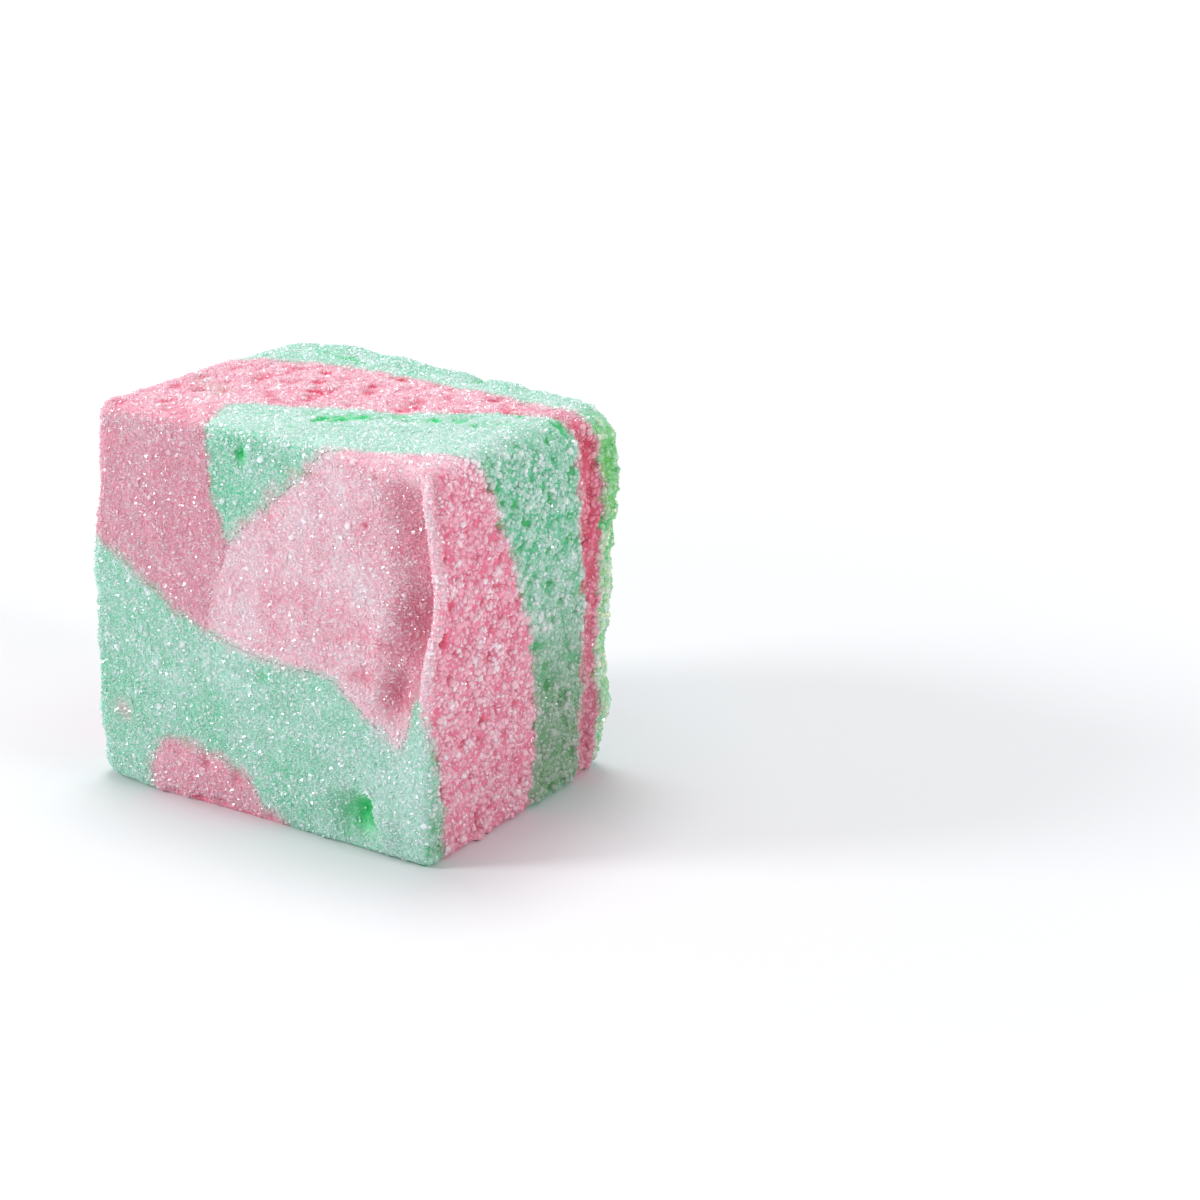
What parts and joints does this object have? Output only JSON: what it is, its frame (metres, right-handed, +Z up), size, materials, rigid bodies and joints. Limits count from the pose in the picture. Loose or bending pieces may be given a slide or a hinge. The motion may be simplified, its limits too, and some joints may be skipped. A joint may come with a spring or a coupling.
{
  "type": "marshmallow",
  "caption": "Sugared marshmallow cube in pink and green, its soft colour layers running through the block, lying flat on its underside.",
  "frame": {"origin": "middle of the underside's bounding rectangle, on the surface that the cube rests on", "axes": "+X runs to the right along the front face, +Y from the front face to the back face, across the colour layers, +Z up"},
  "size_m": [0.0358, 0.0294, 0.0343],
  "materials": {
    "pink_marshmallow": "matte, soft and porous pink sugar foam under a coat of fine sugar",
    "green_marshmallow": "matte, soft and porous mint green sugar foam under a coat of fine sugar",
    "sugar": "clear to frosted sugar crystals with small bright faces"
  },
  "bodies": {
    "root": {"back_green_layer": "green_marshmallow", "rear_pink_layer": "pink_marshmallow", "middle_green_layer": "green_marshmallow", "front_pink_lobe": "pink_marshmallow", "front_green_layer": "green_marshmallow", "low_pink_patch": "pink_marshmallow"}
  },
  "joints": []
}
